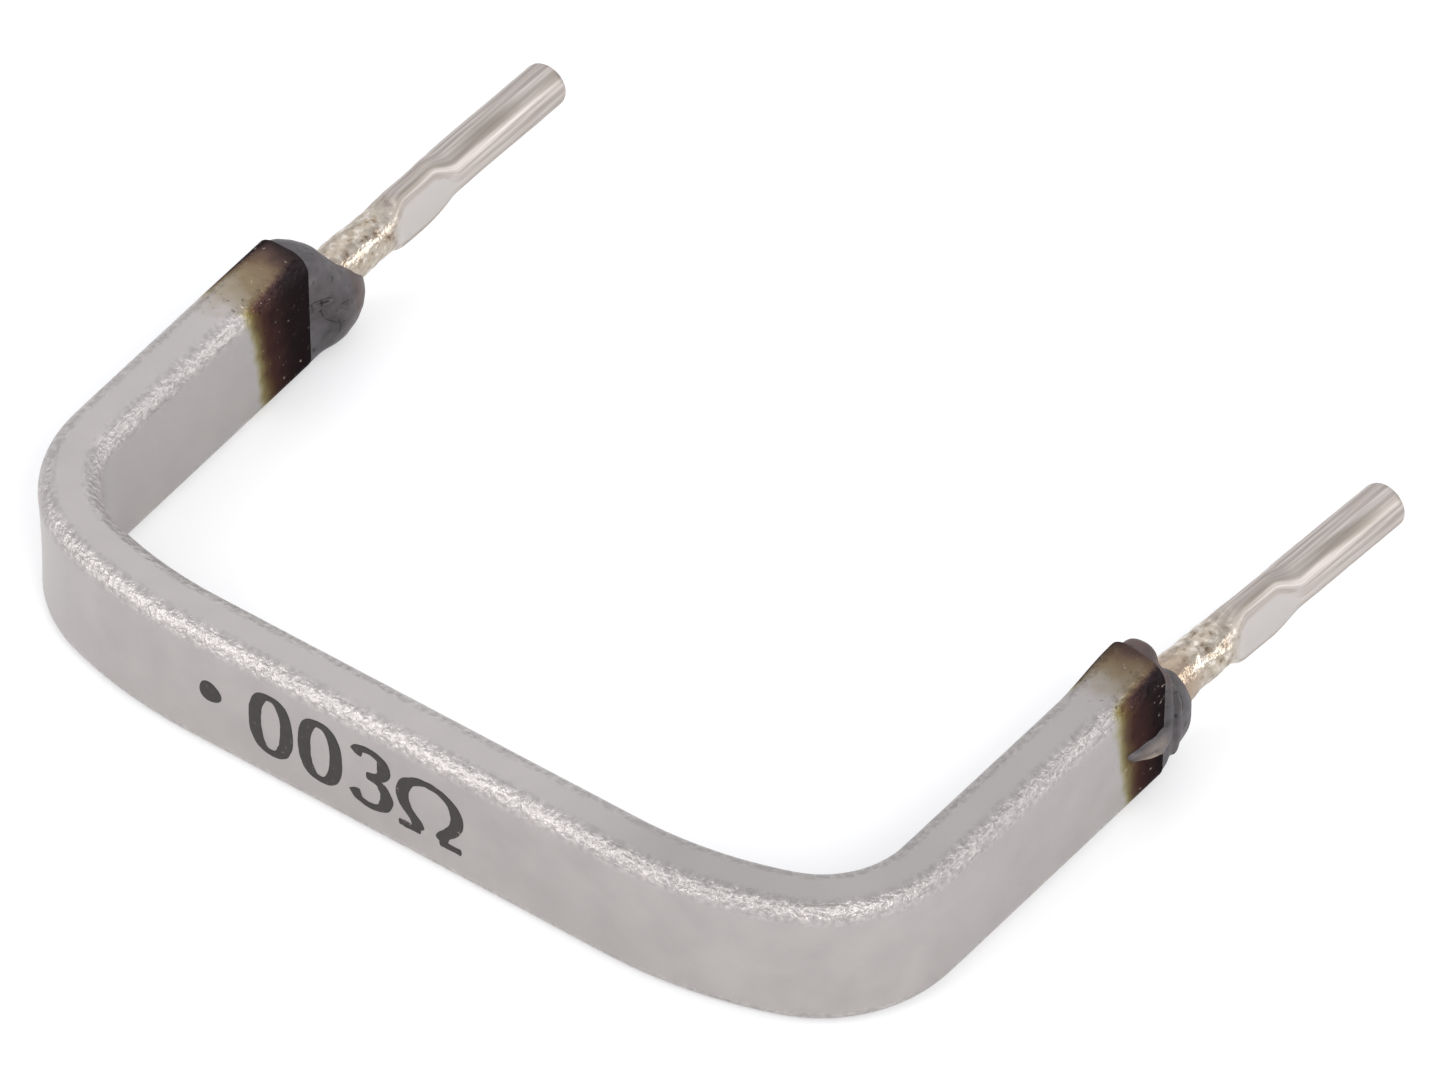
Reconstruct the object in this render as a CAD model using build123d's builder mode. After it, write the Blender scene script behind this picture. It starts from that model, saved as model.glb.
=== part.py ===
"""Open-air current sense resistor: a bar of resistance alloy bent to a U, with two welded, crimped leads."""

from build123d import *
import math
import os

os.makedirs("parts", exist_ok=True)

# All sizes are millimetres and all angles degrees. The bar lies on its lower long edge. X runs along
# the web from the left lead to the right one, Y from the web towards the lead tips, and Z is up.
# The origin is midway between the two cut ends, on the web's centre line, at the lower edge.

# Bar: flat resistance alloy with rolled long edges, bent on edge-guided forming blocks
bar_thickness = 1.27
bar_height = 3.18
edge_radius = 0.42
lead_pitch = 20.32
knuckle_radius = 2.55

# Each bend eases off the web on a slack arc and then turns tightly into its arm
left_ease_radius = 10.2
left_ease_angle = 17.0
left_reach = 8.95
left_splay = 0.0
right_ease_radius = 9.7
right_ease_angle = 21.0
right_reach = 9.62
right_splay = 2.5

# Leads: tinned copper wire, pinched flat once so that the part stands off its board. Each root sits off
# the middle of its cut end, towards the other lead, and each wire leans to the right of its arm.
lead_diameter = 1.0
lead_inset = 0.1
crimp_thickness = 0.64
crimp_width = 1.45
crimp_flat = 0.8
crimp_shoulder = 0.75
crimp_face_angle = 17.0
tip_rounding = 0.2
left_lead_length = 8.38
left_lead_lean = 2.4
left_crimp_to_tip = 4.55
right_lead_length = 7.77
right_lead_lean = 3.4
right_crimp_to_tip = 4.25

# Welds: a bead from the cut end of the bar to a thin collar on the lead. Its sides bulge, and a higher
# power keeps its upper or lower outline full for longer before it falls to the collar.
left_bead_length = 1.65
left_bead_bulge = 0.3
left_bead_top_power = 1.7
left_bead_bottom_power = 3.2
right_bead_length = 1.3
right_bead_bulge = 0.15
right_bead_top_power = 2.0
right_bead_bottom_power = 2.8
bead_collar = 0.1
bead_inset = 0.05

# A tongue of weld metal that ran back along the outer face of the right arm: the proud cap of a spindle
# whose middle lies inside the bar
tongue_length = 2.3
tongue_radius = 0.5
tongue_height = 0.16
tongue_setback = 0.45
tongue_drop = 0.2
tongue_tilt = 18.0

# Form of the lofts: their numbers of sections, where the arcs of a round wire meet, and how round the
# corners of a bead's sections are, as shares of the section's smaller side. A corner stops short of the
# middle of that side by the flat.
shoulder_steps = 4
bead_steps = 5
round_face_angle = 45.0
bead_root_corner = 0.36
bead_collar_corner = 0.49
bead_corner_flat = 0.01

mid_height = bar_height / 2


def bend_extent(ease_radius, ease_angle, splay):
    """How far one bend runs along the web, and how deep it goes towards the lead tips."""
    ease = math.radians(ease_angle)
    turn = math.radians(90 - splay)
    along = ease_radius * math.sin(ease) + knuckle_radius * (math.sin(turn) - math.sin(ease))
    deep = ease_radius * (1 - math.cos(ease)) + knuckle_radius * (math.cos(ease) - math.cos(turn))
    return along, deep


def arm_length(reach, deep, splay):
    """Straight run of an arm from its bend to the cut end."""
    return (reach - deep) / math.cos(math.radians(splay))


def web_length(along, arm, splay):
    """Straight run of the web from the middle to the start of a bend."""
    return lead_pitch / 2 - along - arm * math.sin(math.radians(splay))


left_along, left_deep = bend_extent(left_ease_radius, left_ease_angle, left_splay)
left_arm = arm_length(left_reach, left_deep, left_splay)
left_web = web_length(left_along, left_arm, left_splay)
right_along, right_deep = bend_extent(right_ease_radius, right_ease_angle, right_splay)
right_arm = arm_length(right_reach, right_deep, right_splay)
right_web = web_length(right_along, right_arm, right_splay)

# The bar's rounded section is carried along one centre line of tangent lines and arcs
with BuildPart() as resistance_bar:
    with BuildLine() as centre_line:
        web = Line((-left_web, 0, mid_height), (right_web, 0, mid_height))
        right_ease = JernArc(web @ 1, web % 1, right_ease_radius, right_ease_angle)
        right_turn = 90 - right_splay - right_ease_angle
        right_knuckle = JernArc(right_ease @ 1, right_ease % 1, knuckle_radius, right_turn)
        right_run = Line(right_knuckle @ 1, right_knuckle @ 1 + (right_knuckle % 1) * right_arm)
        left_ease = JernArc(web @ 0, -(web % 0), left_ease_radius, -left_ease_angle)
        left_turn = 90 - left_splay - left_ease_angle
        left_knuckle = JernArc(left_ease @ 1, left_ease % 1, knuckle_radius, -left_turn)
        left_run = Line(left_knuckle @ 1, left_knuckle @ 1 + (left_knuckle % 1) * left_arm)
    with BuildSketch(Plane(origin=left_run @ 1, x_dir=(0, 0, 1), z_dir=-(left_run % 1))):
        RectangleRounded(bar_height, bar_thickness, edge_radius)
    sweep(path=centre_line.wire())

resistance_bar.part.label = "resistance_bar"
export_step(resistance_bar.part, "parts/resistance_bar.step")


def cut_end(run):
    """Plane on a cut end of the bar: its X goes across the thickness, its Y up, its Z out of the end."""
    outward = run % 1
    return Plane(origin=run @ 1, x_dir=(-outward.Y, outward.X, 0), z_dir=outward)


def lead_seat(end, inset, lean):
    """Plane at the root of a lead, shifted across the cut end and leaning from its normal."""
    heading = end.z_dir.rotate(Axis.Z, -lean)
    return Plane(
        origin=end.origin - end.x_dir * inset,
        x_dir=(-heading.Y, heading.X, 0),
        z_dir=heading,
    )


def pinched_round(plane, thickness, width, face_angle):
    """Wire section of four tangent arcs: two flat faces and two tight edges, or a circle."""
    spread = (width - thickness) / 2
    face_sine = math.sin(math.radians(face_angle))
    face_cosine = math.cos(math.radians(face_angle))
    centre_gap = spread / (face_sine + face_cosine - 1)
    edge_arc = width / 2 - centre_gap * face_sine
    face_arc = edge_arc + centre_gap
    face_centre = thickness / 2 - face_arc
    edge_centre = width / 2 - edge_arc
    outline = [
        CenterArc((face_centre, 0), face_arc, -face_angle, 2 * face_angle),
        CenterArc((0, edge_centre), edge_arc, face_angle, 180 - 2 * face_angle),
        CenterArc((-face_centre, 0), face_arc, 180 - face_angle, 2 * face_angle),
        CenterArc((0, -edge_centre), edge_arc, 180 + face_angle, 180 - 2 * face_angle),
    ]
    return plane * make_face(outline)


def crimp_sections(seat, crimp_centre):
    """Sections from round to pinched and back to round, eased by half a cosine wave on each shoulder."""
    half_flat = crimp_flat / 2
    leaving = [half_flat + crimp_shoulder * step / shoulder_steps for step in range(shoulder_steps + 1)]
    entering = [-distance for distance in reversed(leaving)]
    sections = []
    for distance in entering + [0] + leaving:
        share = max(abs(distance) - half_flat, 0) / crimp_shoulder
        press = (1 + math.cos(math.pi * share)) / 2
        thickness = lead_diameter + (crimp_thickness - lead_diameter) * press
        width = lead_diameter + (crimp_width - lead_diameter) * press
        face_angle = round_face_angle + (crimp_face_angle - round_face_angle) * press
        plane = seat.offset(crimp_centre + distance)
        sections.append(pinched_round(plane, thickness, width, face_angle))
    return sections


def crimped_lead(end, inset, lean, length, crimp_to_tip):
    """Round wire from a cut end of the bar to its tip, with one crimp that spreads it up and down."""
    seat = lead_seat(end, inset, lean)
    crimp_centre = length - crimp_to_tip
    crimp_reach = crimp_flat / 2 + crimp_shoulder
    sections = crimp_sections(seat, crimp_centre)
    with BuildPart() as lead:
        with BuildSketch(seat.offset(crimp_centre - crimp_reach)):
            Circle(lead_diameter / 2)
        extrude(amount=-crimp_centre)
        split(bisect_by=end)
        with BuildSketch(seat.offset(crimp_centre + crimp_reach)):
            Circle(lead_diameter / 2)
        extrude(amount=crimp_to_tip - crimp_reach)
        tip = lead.faces().sort_by(Axis(seat.origin, seat.z_dir)).last
        fillet(tip.edges(), tip_rounding)
        loft(sections)
    return lead.part


def weld_bead(end, inset, lean, length, bulge, top_power, bottom_power, lead, tongue=None):
    """Frozen weld metal from a cut end to a collar on the lead, fuller below than above."""
    collar = lead_diameter + 2 * bead_collar
    root_width = bar_thickness - 2 * bead_inset
    root_height = bar_height - 2 * bead_inset
    with BuildPart() as bead:
        for step in range(bead_steps + 1):
            share = step / bead_steps
            width = root_width + (collar - root_width) * share + 2 * bulge * math.sin(math.pi * share)
            top = (root_height + (collar - root_height) * share**top_power) / 2
            bottom = (root_height + (collar - root_height) * share**bottom_power) / 2
            drift = (inset + length * share * math.tan(math.radians(lean))) * share
            rounding = math.sin(math.pi / 2 * share)
            corner = bead_root_corner + (bead_collar_corner - bead_root_corner) * rounding
            side = min(width, top + bottom)
            with BuildSketch(end.offset(length * share)):
                with Locations((-drift, (top - bottom) / 2)):
                    RectangleRounded(width, top + bottom, min(side * corner, side / 2 - bead_corner_flat))
        loft()
        if tongue:
            add(tongue)
        add(resistance_bar.part, mode=Mode.SUBTRACT)
        add(lead, mode=Mode.SUBTRACT)
    return bead.part


left_end = cut_end(left_run)
left_lead = crimped_lead(left_end, lead_inset, left_lead_lean, left_lead_length, left_crimp_to_tip)
left_lead.label = "lead_left"
export_step(left_lead, "parts/lead_left.step")

right_end = cut_end(right_run)
right_lead = crimped_lead(right_end, -lead_inset, right_lead_lean, right_lead_length, right_crimp_to_tip)
right_lead.label = "lead_right"
export_step(right_lead, "parts/lead_right.step")

left_weld = weld_bead(
    left_end,
    lead_inset,
    left_lead_lean,
    left_bead_length,
    left_bead_bulge,
    left_bead_top_power,
    left_bead_bottom_power,
    left_lead,
)
left_weld.label = "weld_left"
export_step(left_weld, "parts/weld_left.step")

outer_face = -right_end.x_dir
tongue_centre = (
    right_end.origin
    + outer_face * (bar_thickness / 2 + tongue_height - tongue_radius)
    - right_end.z_dir * tongue_setback
    - right_end.y_dir * tongue_drop
)
tongue_plane = Plane(origin=tongue_centre, x_dir=-right_end.z_dir, z_dir=outer_face)
tongue_plane = tongue_plane.rotated((0, 0, -tongue_tilt))
with BuildPart() as tongue:
    with BuildSketch(tongue_plane):
        Ellipse(tongue_length / 2, tongue_radius)
        split(bisect_by=Plane.XZ)
    revolve(axis=Axis(tongue_plane.origin, tongue_plane.x_dir))

right_weld = weld_bead(
    right_end,
    -lead_inset,
    right_lead_lean,
    right_bead_length,
    right_bead_bulge,
    right_bead_top_power,
    right_bead_bottom_power,
    right_lead,
    tongue.part,
)
right_weld.label = "weld_right"
export_step(right_weld, "parts/weld_right.step")
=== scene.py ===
"""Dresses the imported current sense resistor: satin alloy bar, crimped tinned leads, frozen welds and ink.

Every shape is worked out in millimetres in the CAD frame and put into its mesh in metres. The bar lies on
z = 0, the web runs along X and the lead tips point towards +Y.
"""

import logging
import math
from collections.abc import Callable, Mapping, Sequence
from dataclasses import dataclass, field
from enum import Enum
from functools import partial
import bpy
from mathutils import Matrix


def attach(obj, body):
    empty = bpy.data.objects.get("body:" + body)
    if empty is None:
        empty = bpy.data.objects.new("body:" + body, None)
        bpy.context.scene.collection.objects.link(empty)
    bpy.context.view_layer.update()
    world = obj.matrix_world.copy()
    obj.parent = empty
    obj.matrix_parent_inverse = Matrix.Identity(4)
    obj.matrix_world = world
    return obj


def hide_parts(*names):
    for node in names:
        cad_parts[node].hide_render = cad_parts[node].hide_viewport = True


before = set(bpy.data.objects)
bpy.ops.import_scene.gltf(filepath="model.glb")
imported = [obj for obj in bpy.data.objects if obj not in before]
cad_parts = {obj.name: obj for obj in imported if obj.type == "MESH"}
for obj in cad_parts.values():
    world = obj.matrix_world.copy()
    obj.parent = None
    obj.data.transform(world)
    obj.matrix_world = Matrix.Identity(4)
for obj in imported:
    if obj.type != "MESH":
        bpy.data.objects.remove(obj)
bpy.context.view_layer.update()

from types import MappingProxyType

import bpy
import numpy as np
from mathutils import Matrix, Vector

LOG = logging.getLogger("sense_resistor")
MM = 0.001
Array = np.ndarray
Material = bpy.types.Material
Pair = tuple[float, float]
Point = tuple[float, float, float]
Colour = tuple[float, float, float, float]


class Side(Enum):
    """The two ends of the bar, by the arm that carries them."""

    LEFT = "left"
    RIGHT = "right"


# Colour and shader nodes


def linear(hex_colour: str) -> Colour:
    """Turns an sRGB hex value to a linear colour.

    Args:
        hex_colour: A hash and six hex digits.

    Returns:
        Linear red, green and blue, and an alpha of 1.
    """
    coded = np.array([int(hex_colour[i : i + 2], 16) for i in (1, 3, 5)]) / 255.0
    plain = np.where(coded <= 0.04045, coded / 12.92, ((coded + 0.055) / 1.055) ** 2.4)
    return (*(float(v) for v in plain), 1.0)


def add_node(
    tree: bpy.types.NodeTree,
    kind: str,
    sockets: Mapping[str | int, object] | Sequence[object] = (),
    output: str | int = 0,
    stops: Mapping[float, str] = MappingProxyType({}),
    **settings: object,
) -> bpy.types.NodeSocket | None:
    """Adds one node with its settings, its input values or links, and its ramp's stops.

    Args:
        tree: The node tree that takes the node.
        kind: The node's type name without ShaderNode.
        sockets: Values, or outputs to link, by input name or number, or in order from the first input.
        output: The output to hand back.
        stops: The sRGB hex colours of a colour ramp by place, in rising order.
        settings: Properties to set on the node.

    Returns:
        The output, or nothing where the node has none.
    """
    made = tree.nodes.new("ShaderNode" + kind)
    for name, value in settings.items():
        setattr(made, name, value)
    for name, value in sockets.items() if isinstance(sockets, Mapping) else enumerate(sockets):
        if isinstance(value, bpy.types.NodeSocket):
            tree.links.new(value, made.inputs[name])
        else:
            made.inputs[name].default_value = value
    for _ in range(len(stops) - 2):
        made.color_ramp.elements.new(1.0)
    for number, (place, colour) in enumerate(stops.items()):
        stop = made.color_ramp.elements[number]
        stop.position, stop.color = place, linear(colour)
    return made.outputs[output] if made.outputs else None


def new_material(name: str) -> tuple[Material, Callable[..., bpy.types.NodeSocket]]:
    """Makes a node material with nothing in it.

    Args:
        name: The material's name.

    Returns:
        The material, and add_node for its tree.
    """
    made = bpy.data.materials.new(name)
    made.use_nodes = True
    made.node_tree.nodes.clear()
    return made, partial(add_node, made.node_tree)


# Shape helpers


def lattice_noise(points: Array, size: float, seed: int) -> Array:
    """Smooth noise from -1 to 1.

    Each corner of a cubic lattice has a value hashed from its whole-number place. A point takes the eight
    corners round it, weighted along each axis by 3t^2 - 2t^3 of its share of the way across the cell.

    Args:
        points: An array whose last axis is x, y, z in mm.
        size: The lattice's cell in mm.
        seed: Picks another set of values.

    Returns:
        One value for each point.
    """
    scaled = points / size + 0.37 * seed
    base = np.floor(scaled).astype(np.int64)
    share = scaled - base
    ease = share * share * (3 - 2 * share)
    total = np.zeros(points.shape[:-1])
    for corner in np.ndindex(2, 2, 2):
        step = np.array(corner)
        mixed = ((base + step) * np.array([73856093, 19349663, 83492791])).sum(-1) + seed * 40503
        mixed = (mixed ^ (mixed >> 13)) * 1274126177
        value = ((mixed ^ (mixed >> 16)) & 0xFFFF) / 32767.5 - 1
        total += value * np.prod(np.where(step == 1, ease, 1 - ease), axis=-1)
    return total


def ease_between(values: Array, start: float, end: float) -> Array:
    """Goes smoothly from 0 at start to 1 at end, as 3t^2 - 2t^3 of the share of the way."""
    share = np.clip((values - start) / (end - start), 0, 1)
    return share * share * (3 - 2 * share)


@dataclass
class Shell:
    """A closed skin of rings with a pole at each end, or of rings that meet end to end.

    The rings advance along the piece and run anticlockwise seen from ahead, so the faces point outwards.

    Attributes:
        rings: Points in mm, as rows by columns by 3.
        poles: The first and the last pole, or nothing where the rows close on themselves.
        marks: Named values for each point of the rings, as rows by columns, and by 3 for a vector.
    """

    rings: Array
    poles: tuple[Array, Array] | None
    marks: dict[str, Array] = field(default_factory=dict)

    def vertices(self) -> Array:
        """Points of the rings, row by row, and then the poles."""
        flat = self.rings.reshape(-1, 3)
        return flat if self.poles is None else np.vstack([flat, *self.poles])

    def faces(self, offset: int) -> list[list[int]]:
        """Quads between neighbouring rings, and a fan of triangles at each pole.

        Args:
            offset: The number of points that come before this shell's in its mesh.

        Returns:
            Lists of point numbers.
        """
        rows, columns = self.rings.shape[:2]
        index = np.arange(rows * columns).reshape(rows, columns) + offset
        beside = np.roll(index, -1, axis=1)
        quads = np.stack([index, beside, np.roll(beside, -1, axis=0), np.roll(index, -1, axis=0)], -1)
        if self.poles is None:
            return quads.reshape(-1, 4).tolist()
        first = np.full(columns, rows * columns + offset)
        low = np.stack([first, beside[0], index[0]], -1)
        high = np.stack([first + 1, index[-1], beside[-1]], -1)
        return quads[:-1].reshape(-1, 4).tolist() + low.tolist() + high.tolist()

    def mark_values(self, name: str) -> Array:
        """A mark's values in the order of the vertices; a pole takes its ring's mean."""
        value = self.marks[name]
        flat = value.reshape(-1, *value.shape[2:])
        if self.poles is None:
            return flat
        return np.concatenate([flat, value[:1].mean(axis=1), value[-1:].mean(axis=1)])


def make_piece(
    name: str, shells: Sequence[Shell], material: Material, sharp_angle: float = 50.0
) -> bpy.types.Object:
    """Puts shells into one mesh object at the origin, in metres, with their marks as attributes.

    Args:
        name: The piece's name.
        shells: The closed skins that make it, all with the same marks.
        material: Its finish.
        sharp_angle: Edges that turn by more than this many degrees stay sharp.

    Returns:
        The new object.
    """
    points, faces = [], []
    for shell in shells:
        faces += shell.faces(sum(len(p) for p in points))
        points.append(shell.vertices())
    mesh = bpy.data.meshes.new(name)
    mesh.from_pydata((np.vstack(points) * MM).tolist(), [], faces)
    for mark in shells[0].marks:
        values = np.concatenate([shell.mark_values(mark) for shell in shells]).astype(np.float32)
        kind, slot = ("FLOAT", "value") if values.ndim == 1 else ("FLOAT_VECTOR", "vector")
        mesh.attributes.new(mark, kind, "POINT").data.foreach_set(slot, values.ravel())
    mesh.shade_smooth()
    mesh.set_sharp_from_angle(angle=math.radians(sharp_angle))
    mesh.materials.append(material)
    piece = bpy.data.objects.new(name, mesh)
    bpy.context.scene.collection.objects.link(piece)
    LOG.info("%s: %d points, %d faces", name, len(mesh.vertices), len(mesh.polygons))
    return piece


def smooth_path(points: Sequence[Pair], count: int) -> Array:
    """Carries a curve through points.

    On each span the curve is the cubic that meets its two ends with the slope between their neighbours
    (Catmull-Rom), and the ends of the path repeat their own point.

    Args:
        points: The points that it goes through.
        count: How many points come back, evenly spread over the spans.

    Returns:
        An array of count by 2.
    """
    knots = np.array([points[0], *points, points[-1]], float)
    place = np.linspace(0, len(points) - 1 - 1e-9, count)
    span = place.astype(int)
    t = (place - span)[:, None]
    a, b, c, d = (knots[span + i] for i in range(4))
    return 0.5 * (2 * b + (c - a) * t + (2 * a - 5 * b + 4 * c - d) * t**2 + (3 * b - a - 3 * c + d) * t**3)


# Finishes. A noise or a cell has the size in mm that its name gives; MM turns it to the scene's metres.


@dataclass(frozen=True)
class BareAlloy:
    """Copper-nickel-manganese resistance alloy, rolled, cut and tumbled, then bent bare.

    Tumbling leaves a satin, faintly mottled warm grey with fine grain. The rolled edges keep a coarser
    grain that breaks their highlight into sparks. The weld's heat has left oxide colours on each arm.
    """

    grain_mm: float = 0.05
    edge_grain_mm: float = 0.12
    mottle_mm: float = 0.9
    cloud_mm: float = 0.5
    fleck_mm: float = 0.17
    scratch_mm: float = 0.07

    def material(self) -> Material:
        """Builds the finish.

        Returns:
            The node material, which reads the marks temper, edge, lid and run, and a mark of painted shade.
        """
        made, add = new_material("tumbled_resistance_alloy")
        place = add("TexCoord", output="Object")
        temper, edge, lid, painted_shade = (
            add("Attribute", output="Fac", attribute_name=name) for name in ("temper", "edge", "lid", "painted_shade")
        )
        run = add("Attribute", output="Vector", attribute_name="run")
        # Oxide colours: the temper mark is shaken by small cloudy noise before the ramp reads it
        cloud = add(
            "TexNoise", {"Vector": place, "Scale": 1 / (self.cloud_mm * MM), "Detail": 2.0, "Roughness": 0.5}
        )
        shake = add("MapRange", (cloud, 0.3, 0.7, -0.05, 0.05))
        shaken = add("Math", (temper, shake), operation="ADD")
        face_stops = {0.0: "#282324", 0.28: "#2B2425", 0.42: "#392A2A", 0.58: "#4A3531"}
        face_stops |= {0.72: "#5E4A34", 0.82: "#7D7149", 0.90: "#9A9379", 1.0: "#ADA8A6"}
        face_oxide = add("ValToRGB", [shaken], stops=face_stops)
        lid_stops = {0.0: "#1D1A1B", 0.34: "#2F2829", 0.50: "#54443F", 0.62: "#73614F"}
        lid_stops |= {0.74: "#83755F", 0.86: "#978D7F", 1.0: "#ADA8A6"}
        lid_oxide = add("ValToRGB", [shaken], stops=lid_stops)
        both = add("Mix", {0: lid, 6: face_oxide, 7: lid_oxide}, 2, data_type="RGBA")
        # Flecks: small bare scratches and dark pits, only where the heat has coloured the metal
        chips = add(
            "TexNoise", {"Vector": place, "Scale": 1 / (self.fleck_mm * MM), "Detail": 3.0, "Roughness": 0.6}
        )
        bare = add("MapRange", (chips, 0.66, 0.72, 0.0, 0.75))
        tinted = add("MapRange", (temper, 0.9, 1.1, 1.0, 0.0))
        bare_shown = add("Math", (bare, tinted), operation="MULTIPLY")
        chipped = add("Mix", {0: bare_shown, 6: both, 7: linear("#A69D92")}, 2, data_type="RGBA")
        pitted = add("MapRange", (chips, 0.28, 0.36, 0.5, 1.0))
        pits_shown = add("MapRange", (tinted, 0.0, 1.0, 1.0, pitted))
        oxide = add("VectorMath", {0: chipped, "Scale": pits_shown}, operation="SCALE")
        # Mottling of the bare metal, a few percent
        mottle = add("TexNoise", {"Vector": place, "Scale": 1 / (self.mottle_mm * MM), "Detail": 4.0})
        light = add("MapRange", (mottle, 0.3, 0.7, 0.93, 1.06))
        # Painted shade darkens the colour towards 0.78 on the right's narrow edges, less on the inner faces
        shaded_mottle = add("MapRange", (painted_shade, 0.0, 1.0, light, 0.78))
        tone = add("VectorMath", {0: oxide, "Scale": shaded_mottle}, operation="SCALE")
        # Scratches: the run mark is squeezed along the bar, so thin dark lines run along the rolled edges
        stretched = add(
            "TexNoise", {"Vector": run, "Scale": 1 / self.scratch_mm, "Detail": 2.0, "Roughness": 0.6}
        )
        line_light = add("MapRange", (stretched, 0.3, 0.4, 0.8, 1.0))
        # Grain: fine on the faces, coarser on the rolled edges, where it breaks the light into sparks
        fine = add("TexNoise", {"Vector": place, "Scale": 1 / (self.grain_mm * MM), "Detail": 3.0})
        coarse = add("TexNoise", {"Vector": place, "Scale": 1 / (self.edge_grain_mm * MM), "Detail": 2.0})
        spark = add("MapRange", (coarse, 0.36, 0.66, 0.93, 1.22))
        wear_and_shade = add("Math", (spark, line_light), operation="MULTIPLY")
        edge_light = add("MapRange", (edge, 0.0, 0.8, 1.0, wear_and_shade))
        edged = add("VectorMath", {0: tone, "Scale": edge_light}, operation="SCALE")
        face_bump = add("Bump", {"Strength": 0.35, "Distance": 0.006 * MM, "Height": fine})
        edge_strength = add("MapRange", (edge, 0.0, 0.8, 0.12, 1.0))
        bump = add(
            "Bump",
            {"Strength": edge_strength, "Distance": 0.055 * MM, "Height": coarse, "Normal": face_bump},
        )
        rough = add("MapRange", (mottle, 0.3, 0.7, 0.34, 0.44))
        rolled_rough = add("MapRange", (edge, 0.0, 0.8, rough, 0.48))
        # The oxide doesn't brighten towards grazing angles as the bare metal does
        grazing = add("MapRange", (temper, 0.6, 1.0, 0.45, 1.0))
        look = {"Base Color": edged, "Specular Tint": grazing, "Metallic": 1.0}
        shader = add("BsdfPrincipled", look | {"Roughness": rolled_rough, "Normal": bump})
        add("OutputMaterial", {"Surface": shader})
        return made


@dataclass(frozen=True)
class DrawnTin:
    """Copper wire, drawn and tinned, then heated by the weld and pinched.

    Drawing leaves long soft lines and a bright, warm grey skin. Near the weld the tin has melted and
    frozen again in small lumps, with dark pits and coppery specks.
    """

    line_mm: float = 0.09
    lump_mm: float = 0.17
    speck_mm: float = 0.2

    def material(self) -> Material:
        """Builds the finish.

        Returns:
            The node material, which reads the marks draw, melt, pinch, a painted dark reflection, root and
            tip.
        """
        made, add = new_material("drawn_tinned_copper")
        place = add("TexCoord", output="Object")
        draw = add("Attribute", output="Vector", attribute_name="draw")
        melt = add("Attribute", output="Fac", attribute_name="melt")
        lines = add("TexNoise", {"Vector": draw, "Scale": 1 / self.line_mm, "Detail": 2.0, "Roughness": 0.6})
        tone = add("ValToRGB", [lines], stops={0.30: "#9A918C", 0.5: "#B6ADA7", 0.72: "#C9C2BD"})
        specks = add(
            "TexNoise", {"Vector": place, "Scale": 1 / (self.speck_mm * MM), "Detail": 3.0, "Roughness": 0.55}
        )
        speck_stops = {0.28: "#5F5245", 0.34: "#918170", 0.45: "#AFA496", 0.56: "#BAB0A2", 0.72: "#E6DDD4"}
        speck_tone = add("ValToRGB", [specks], stops=speck_stops)
        # Each mark lays its colour over what came before: the pressed flat, the melted tin, a dark reflection
        # painted along the upper side, the heat-browned root and the cut tip
        layers = {"pinch": linear("#C4BFBC"), "melt": speck_tone, "painted_dark_reflection": linear("#8F877D")}
        layers |= {"root": linear("#A4917E"), "tip": linear("#9C968C")}
        for mark, colour in layers.items():
            share = add("Attribute", output="Fac", attribute_name=mark)
            tone = add("Mix", {0: share, 6: tone, 7: colour}, 2, data_type="RGBA")
        line_bump = add("Bump", {"Strength": 0.5, "Distance": 0.008 * MM, "Height": lines})
        rough = add("MapRange", (melt, 0.0, 1.0, 0.52, 0.3))
        lumps = add("TexNoise", {"Vector": place, "Scale": 1 / (self.lump_mm * MM), "Detail": 2.0})
        bump = add(
            "Bump", {"Strength": melt, "Distance": 0.036 * MM, "Height": lumps, "Normal": line_bump}
        )
        look = {"Base Color": tone, "Metallic": 1.0, "Roughness": rough, "Normal": bump}
        add("OutputMaterial", {"Surface": add("BsdfPrincipled", look)})
        return made


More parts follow.
